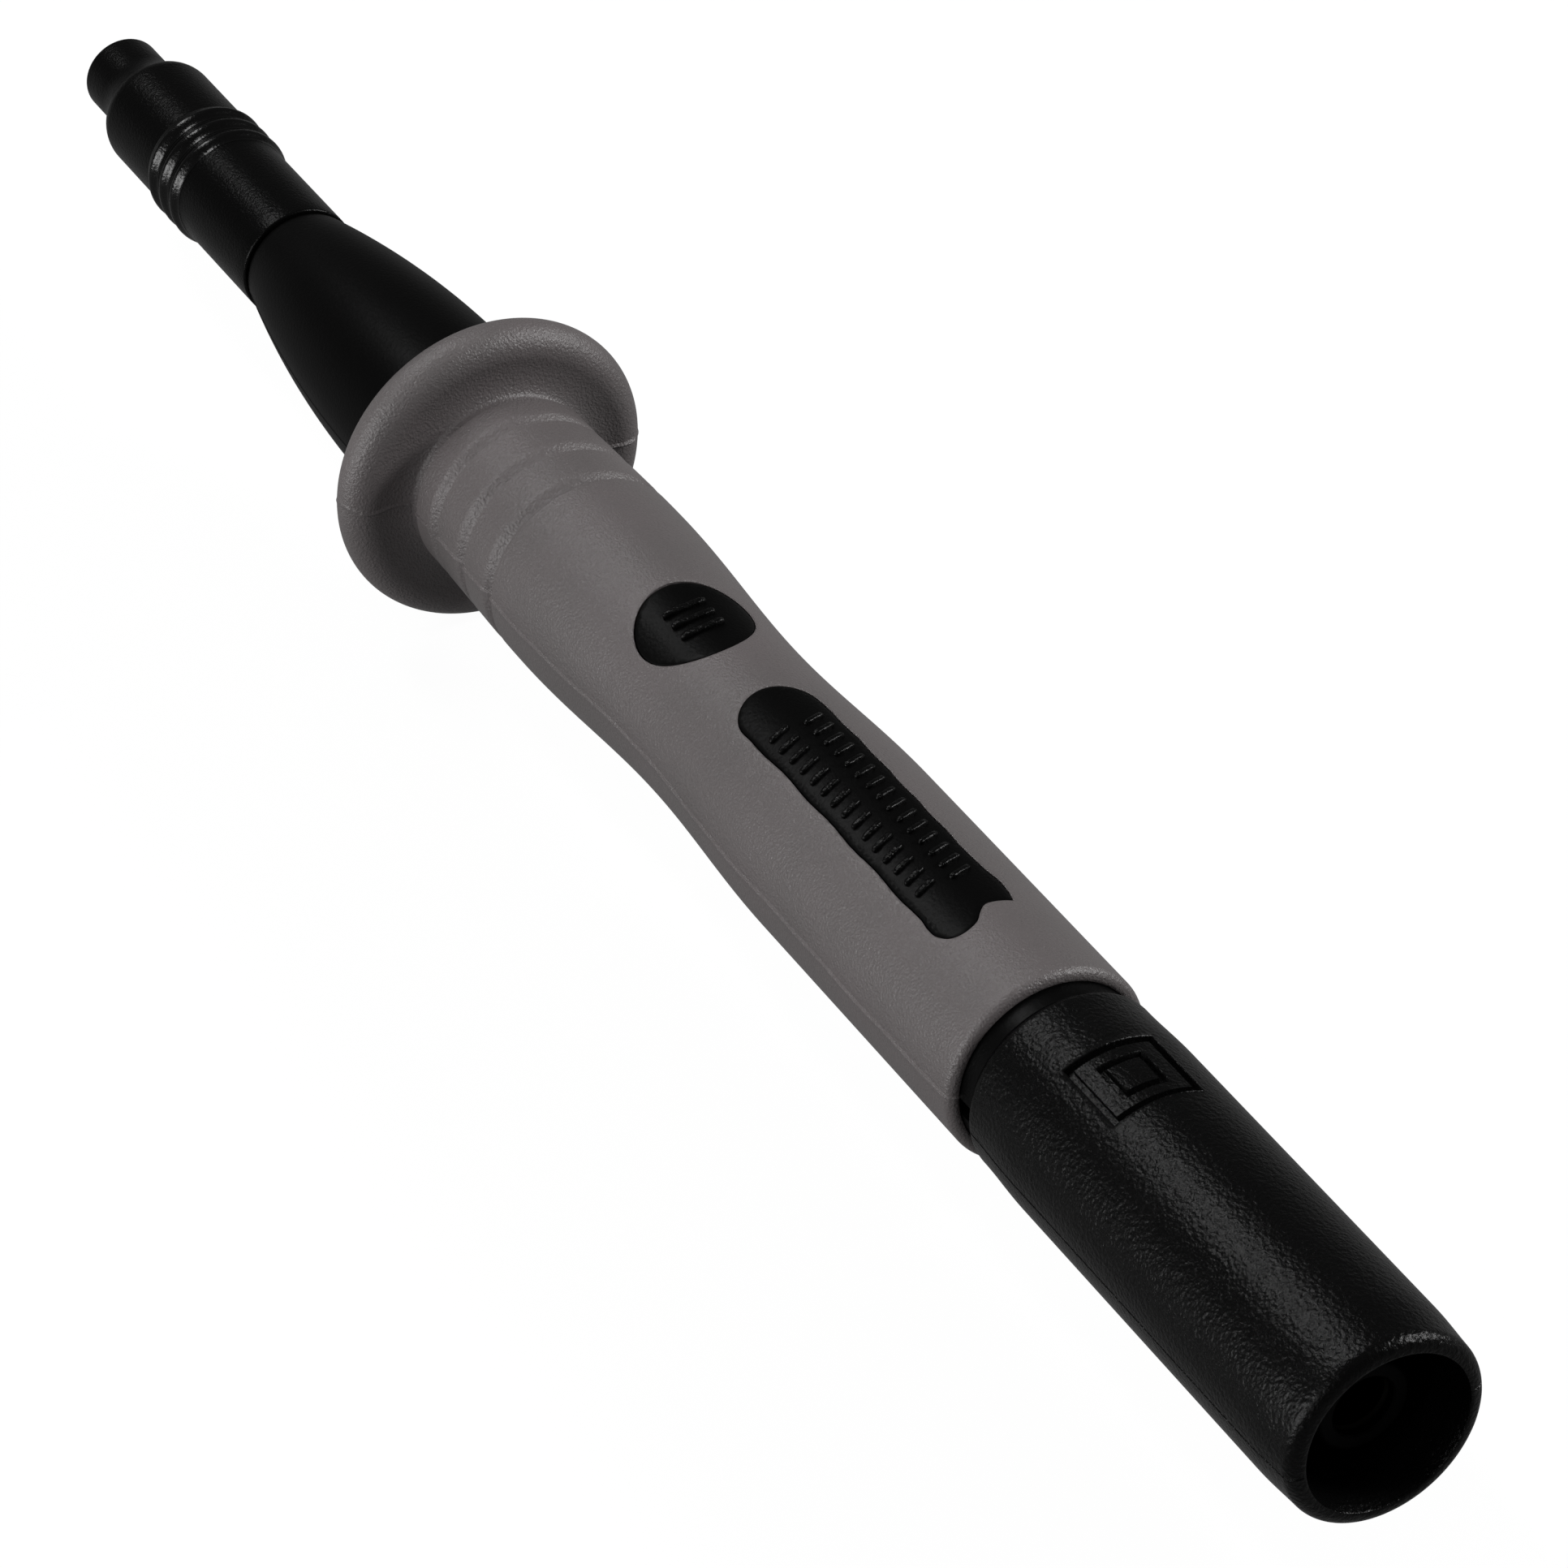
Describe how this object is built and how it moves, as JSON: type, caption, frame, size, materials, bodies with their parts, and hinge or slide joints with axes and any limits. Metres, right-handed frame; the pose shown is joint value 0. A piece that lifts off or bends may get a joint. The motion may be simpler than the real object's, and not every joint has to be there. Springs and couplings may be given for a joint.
{
  "type": "safety test probe",
  "caption": "Hand-held safety test probe with a 4 mm socket, soft grip, finger guard and a steel needle under a push-on cap.",
  "frame": {"origin": "mouth of the 4 mm contact, on the probe's long axis", "axes": "+X along the probe towards the needle, +Z towards the side of the grip with the two pads, +Y to the left"},
  "size_m": [0.1752, 0.0226, 0.0226],
  "materials": {
    "hard_black": "spark-eroded grain",
    "soft_grey": "fine satin grain",
    "cap_black": "satin",
    "post_black": "satin",
    "bush_white": "satin",
    "plated_brass": "bright nickel plate",
    "bare_brass": "turned",
    "steel": "ground and polished",
    "spring_steel": "blued",
    "seal_rubber": "smooth"
  },
  "bodies": {
    "handle": {"handle_core": "hard_black", "grip_sleeve": "soft_grey", "rear_sleeve": "hard_black", "neck_seal": "seal_rubber", "socket_insulator": "post_black", "socket_contact": "plated_brass", "lock_washer": "spring_steel", "conductor_rod": "bare_brass", "needle_holder": "bare_brass", "nose_bush": "bush_white", "needle_sheath": "cap_black", "probe_needle": "steel"},
    "cap": {"tip_cap": "cap_black"}
  },
  "joints": [
    {"name": "cap_slide", "type": "slide", "parent": "handle", "child": "cap", "axis": [1, 0, 0], "range_m": [0, 0.034]}
  ]
}
